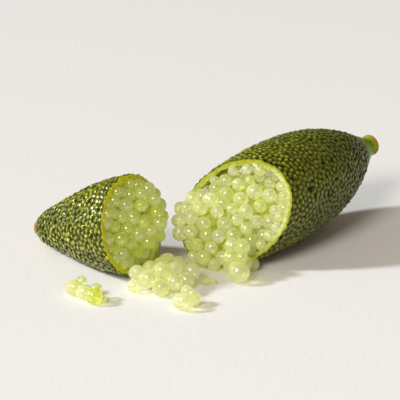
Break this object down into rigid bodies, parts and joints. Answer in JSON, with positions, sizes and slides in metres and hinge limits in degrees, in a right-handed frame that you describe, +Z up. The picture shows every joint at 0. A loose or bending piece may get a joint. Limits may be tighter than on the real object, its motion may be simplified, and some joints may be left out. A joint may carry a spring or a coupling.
{
  "type": "cut finger lime fruit",
  "caption": "Slender pebble-skinned citrus fruit cut in two, with round juice pearls spilling from both cut faces onto the table.",
  "frame": {"origin": "middle of the laid out pieces, on the table they rest on", "axes": "+Z up, +X along the longest extent from the blossom end to the stem end, -Y towards the spilled pearls"},
  "size_m": [0.07, 0.0572, 0.0211],
  "materials": {
    "rind": "waxy dark green pebbled citrus skin, yellow green at the oil glands, with a pale cut edge",
    "pearls": "wet translucent pale green juice vesicles"
  },
  "bodies": {
    "root": {"rind_stem_end": "rind", "rind_blossom_end": "rind", "pearls_stem_end": "pearls", "pearls_blossom_end": "pearls", "pearls_heap": "pearls", "pearls_front_cluster": "pearls", "pearls_left_cluster": "pearls"}
  },
  "joints": []
}
